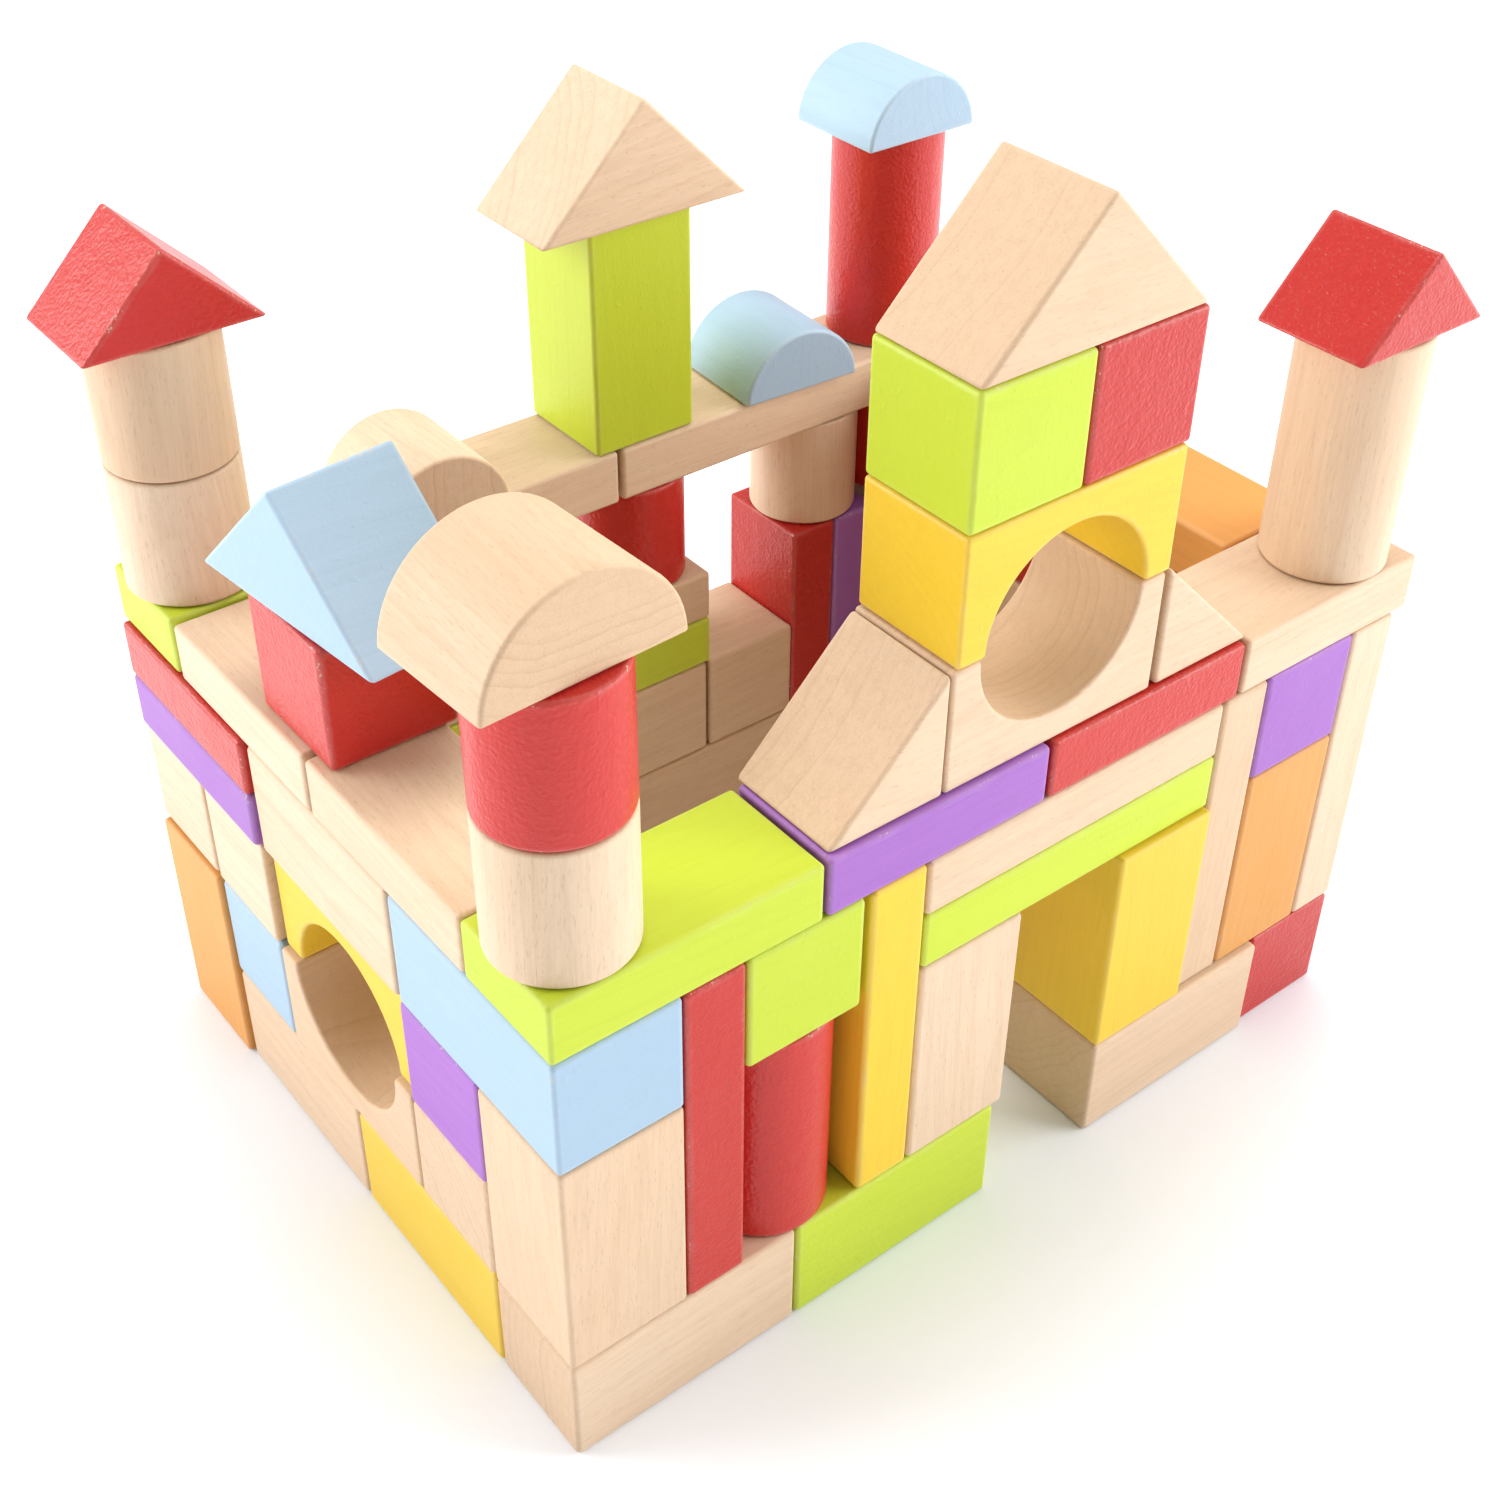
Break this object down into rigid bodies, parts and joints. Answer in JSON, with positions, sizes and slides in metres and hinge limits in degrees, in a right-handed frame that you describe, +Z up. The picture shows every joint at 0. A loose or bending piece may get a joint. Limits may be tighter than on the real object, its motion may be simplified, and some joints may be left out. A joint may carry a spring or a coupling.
{
  "type": "toy block castle",
  "caption": "Toy castle stacked from loose wooden building blocks, with a gate, a gatehouse, round windows and corner towers.",
  "frame": {"origin": "middle of the footprint, on the surface that the castle stands on", "axes": "+Z up, -Y towards the gate, +X along the gate wall to the right of someone who faces the gate"},
  "size_m": [0.26, 0.1852, 0.2564],
  "materials": {
    "back_blue_half_round": "satin paint",
    "back_corner_red_drum": "satin paint",
    "back_green_column": "satin paint",
    "back_green_plank": "satin paint",
    "back_left_green_plank": "satin paint",
    "back_left_lower_drum": "bare sanded wood",
    "back_left_red_roof": "satin paint",
    "back_left_upper_drum": "bare sanded wood",
    "back_natural": "bare sanded wood",
    "back_natural_half_round": "bare sanded wood",
    "back_natural_roof": "bare sanded wood",
    "back_purple_upright": "satin paint",
    "back_red_drum": "satin paint",
    "back_red_upright": "satin paint",
    "back_right_blue_half_round": "satin paint",
    "back_right_natural": "bare sanded wood",
    "back_right_red_drum": "satin paint",
    "base_green": "satin paint",
    "base_red_cube": "satin paint",
    "cap_green": "satin paint",
    "cap_natural": "bare sanded wood",
    "cap_purple": "satin paint",
    "cap_red": "satin paint",
    "front_green_cube": "satin paint",
    "front_left_half_round": "bare sanded wood",
    "front_left_natural_drum": "bare sanded wood",
    "front_left_red_drum": "satin paint",
    "front_long_red_drum": "satin paint",
    "front_orange_column": "satin paint",
    "front_purple_cube": "satin paint",
    "front_red_upright": "satin paint",
    "front_right_natural_drum": "bare sanded wood",
    "front_right_red_roof": "satin paint",
    "front_yellow_upright": "satin paint",
    "gate_green_lintel": "satin paint",
    "gate_left_column": "bare sanded wood",
    "gate_right_natural": "bare sanded wood",
    "gate_yellow_column": "satin paint",
    "gatehouse_green_cube": "satin paint",
    "gatehouse_left_ramp": "bare sanded wood",
    "gatehouse_natural_arch": "bare sanded wood",
    "gatehouse_natural_roof": "bare sanded wood",
    "gatehouse_red_cube": "satin paint",
    "gatehouse_right_ramp": "bare sanded wood",
    "gatehouse_yellow_arch": "satin paint",
    "left_blue_corner": "satin paint",
    "left_blue_cube": "satin paint",
    "left_front_natural": "bare sanded wood",
    "left_house_blue_roof": "satin paint",
    "left_house_red_cube": "satin paint",
    "left_orange_column": "satin paint",
    "left_purple_cube": "satin paint",
    "left_purple_plank": "satin paint",
    "left_red_plank": "satin paint",
    "left_top_natural": "bare sanded wood",
    "left_yellow_arch": "satin paint",
    "left_yellow_base": "satin paint",
    "right_natural": "bare sanded wood",
    "right_orange_cap": "satin paint",
    "right_red": "satin paint"
  },
  "bodies": {
    "walls": {"back_corner_red_drum": "back_corner_red_drum", "back_green_plank": "back_green_plank", "back_left_green_plank": "back_left_green_plank", "back_natural": "back_natural", "back_purple_upright": "back_purple_upright", "back_red_drum": "back_red_drum", "back_red_upright": "back_red_upright", "back_right_natural": "back_right_natural", "base_green": "base_green", "base_red_cube": "base_red_cube", "cap_purple": "cap_purple", "cap_red": "cap_red", "front_green_cube": "front_green_cube", "front_long_red_drum": "front_long_red_drum", "front_orange_column": "front_orange_column", "front_purple_cube": "front_purple_cube", "front_red_upright": "front_red_upright", "front_yellow_upright": "front_yellow_upright", "gate_green_lintel": "gate_green_lintel", "gate_left_column": "gate_left_column", "gate_right_natural": "gate_right_natural", "gate_yellow_column": "gate_yellow_column", "left_blue_corner": "left_blue_corner", "left_blue_cube": "left_blue_cube", "left_front_natural": "left_front_natural", "left_orange_column": "left_orange_column", "left_purple_cube": "left_purple_cube", "left_purple_plank": "left_purple_plank", "left_red_plank": "left_red_plank", "left_top_natural": "left_top_natural", "left_yellow_arch": "left_yellow_arch", "left_yellow_base": "left_yellow_base", "right_natural": "right_natural", "right_orange_cap": "right_orange_cap", "right_red": "right_red"},
    "cap_green_lift": {"cap_green": "cap_green"},
    "front_left_natural_drum_lift": {"front_left_natural_drum": "front_left_natural_drum"},
    "front_left_red_drum_lift": {"front_left_red_drum": "front_left_red_drum"},
    "front_left_half_round_lift": {"front_left_half_round": "front_left_half_round"},
    "cap_natural_lift": {"cap_natural": "cap_natural"},
    "front_right_natural_drum_lift": {"front_right_natural_drum": "front_right_natural_drum"},
    "front_right_red_roof_lift": {"front_right_red_roof": "front_right_red_roof"},
    "back_left_lower_drum_lift": {"back_left_lower_drum": "back_left_lower_drum"},
    "back_left_upper_drum_lift": {"back_left_upper_drum": "back_left_upper_drum"},
    "back_left_red_roof_lift": {"back_left_red_roof": "back_left_red_roof"},
    "back_right_red_drum_lift": {"back_right_red_drum": "back_right_red_drum"},
    "back_right_blue_half_round_lift": {"back_right_blue_half_round": "back_right_blue_half_round"},
    "back_green_column_lift": {"back_green_column": "back_green_column"},
    "back_natural_roof_lift": {"back_natural_roof": "back_natural_roof"},
    "back_blue_half_round_lift": {"back_blue_half_round": "back_blue_half_round"},
    "back_natural_half_round_lift": {"back_natural_half_round": "back_natural_half_round"},
    "left_house_red_cube_lift": {"left_house_red_cube": "left_house_red_cube"},
    "left_house_blue_roof_lift": {"left_house_blue_roof": "left_house_blue_roof"},
    "gatehouse_natural_arch_lift": {"gatehouse_natural_arch": "gatehouse_natural_arch"},
    "gatehouse_yellow_arch_lift": {"gatehouse_yellow_arch": "gatehouse_yellow_arch", "gatehouse_green_cube": "gatehouse_green_cube", "gatehouse_red_cube": "gatehouse_red_cube"},
    "gatehouse_natural_roof_lift": {"gatehouse_natural_roof": "gatehouse_natural_roof"},
    "gatehouse_left_ramp_lift": {"gatehouse_left_ramp": "gatehouse_left_ramp"},
    "gatehouse_right_ramp_lift": {"gatehouse_right_ramp": "gatehouse_right_ramp"}
  },
  "joints": [
    {"name": "cap_green_lifts_off", "type": "slide", "parent": "walls", "child": "cap_green_lift", "axis": [0, 0, 1], "range_m": [0, 0.04]},
    {"name": "front_left_natural_drum_lifts_off", "type": "slide", "parent": "cap_green_lift", "child": "front_left_natural_drum_lift", "axis": [0, 0, 1], "range_m": [0, 0.04]},
    {"name": "front_left_red_drum_lifts_off", "type": "slide", "parent": "front_left_natural_drum_lift", "child": "front_left_red_drum_lift", "axis": [0, 0, 1], "range_m": [0, 0.04]},
    {"name": "front_left_half_round_lifts_off", "type": "slide", "parent": "front_left_red_drum_lift", "child": "front_left_half_round_lift", "axis": [0, 0, 1], "range_m": [0, 0.04]},
    {"name": "cap_natural_lifts_off", "type": "slide", "parent": "walls", "child": "cap_natural_lift", "axis": [0, 0, 1], "range_m": [0, 0.04]},
    {"name": "front_right_natural_drum_lifts_off", "type": "slide", "parent": "cap_natural_lift", "child": "front_right_natural_drum_lift", "axis": [0, 0, 1], "range_m": [0, 0.04]},
    {"name": "front_right_red_roof_lifts_off", "type": "slide", "parent": "front_right_natural_drum_lift", "child": "front_right_red_roof_lift", "axis": [0, 0, 1], "range_m": [0, 0.04]},
    {"name": "back_left_lower_drum_lifts_off", "type": "slide", "parent": "walls", "child": "back_left_lower_drum_lift", "axis": [0, 0, 1], "range_m": [0, 0.04]},
    {"name": "back_left_upper_drum_lifts_off", "type": "slide", "parent": "back_left_lower_drum_lift", "child": "back_left_upper_drum_lift", "axis": [0, 0, 1], "range_m": [0, 0.04]},
    {"name": "back_left_red_roof_lifts_off", "type": "slide", "parent": "back_left_upper_drum_lift", "child": "back_left_red_roof_lift", "axis": [0, 0, 1], "range_m": [0, 0.04]},
    {"name": "back_right_red_drum_lifts_off", "type": "slide", "parent": "walls", "child": "back_right_red_drum_lift", "axis": [0, 0, 1], "range_m": [0, 0.04]},
    {"name": "back_right_blue_half_round_lifts_off", "type": "slide", "parent": "back_right_red_drum_lift", "child": "back_right_blue_half_round_lift", "axis": [0, 0, 1], "range_m": [0, 0.04]},
    {"name": "back_green_column_lifts_off", "type": "slide", "parent": "walls", "child": "back_green_column_lift", "axis": [0, 0, 1], "range_m": [0, 0.04]},
    {"name": "back_natural_roof_lifts_off", "type": "slide", "parent": "back_green_column_lift", "child": "back_natural_roof_lift", "axis": [0, 0, 1], "range_m": [0, 0.04]},
    {"name": "back_blue_half_round_lifts_off", "type": "slide", "parent": "walls", "child": "back_blue_half_round_lift", "axis": [0, 0, 1], "range_m": [0, 0.04]},
    {"name": "back_natural_half_round_lifts_off", "type": "slide", "parent": "walls", "child": "back_natural_half_round_lift", "axis": [0, 0, 1], "range_m": [0, 0.04]},
    {"name": "left_house_red_cube_lifts_off", "type": "slide", "parent": "walls", "child": "left_house_red_cube_lift", "axis": [0, 0, 1], "range_m": [0, 0.04]},
    {"name": "left_house_blue_roof_lifts_off", "type": "slide", "parent": "left_house_red_cube_lift", "child": "left_house_blue_roof_lift", "axis": [0, 0, 1], "range_m": [0, 0.04]},
    {"name": "gatehouse_natural_arch_lifts_off", "type": "slide", "parent": "walls", "child": "gatehouse_natural_arch_lift", "axis": [0, 0, 1], "range_m": [0, 0.04]},
    {"name": "gatehouse_yellow_arch_lifts_off", "type": "slide", "parent": "gatehouse_natural_arch_lift", "child": "gatehouse_yellow_arch_lift", "axis": [0, 0, 1], "range_m": [0, 0.04]},
    {"name": "gatehouse_natural_roof_lifts_off", "type": "slide", "parent": "gatehouse_yellow_arch_lift", "child": "gatehouse_natural_roof_lift", "axis": [0, 0, 1], "range_m": [0, 0.04]},
    {"name": "gatehouse_left_ramp_lifts_off", "type": "slide", "parent": "walls", "child": "gatehouse_left_ramp_lift", "axis": [0, 0, 1], "range_m": [0, 0.04]},
    {"name": "gatehouse_right_ramp_lifts_off", "type": "slide", "parent": "walls", "child": "gatehouse_right_ramp_lift", "axis": [0, 0, 1], "range_m": [0, 0.04]}
  ]
}
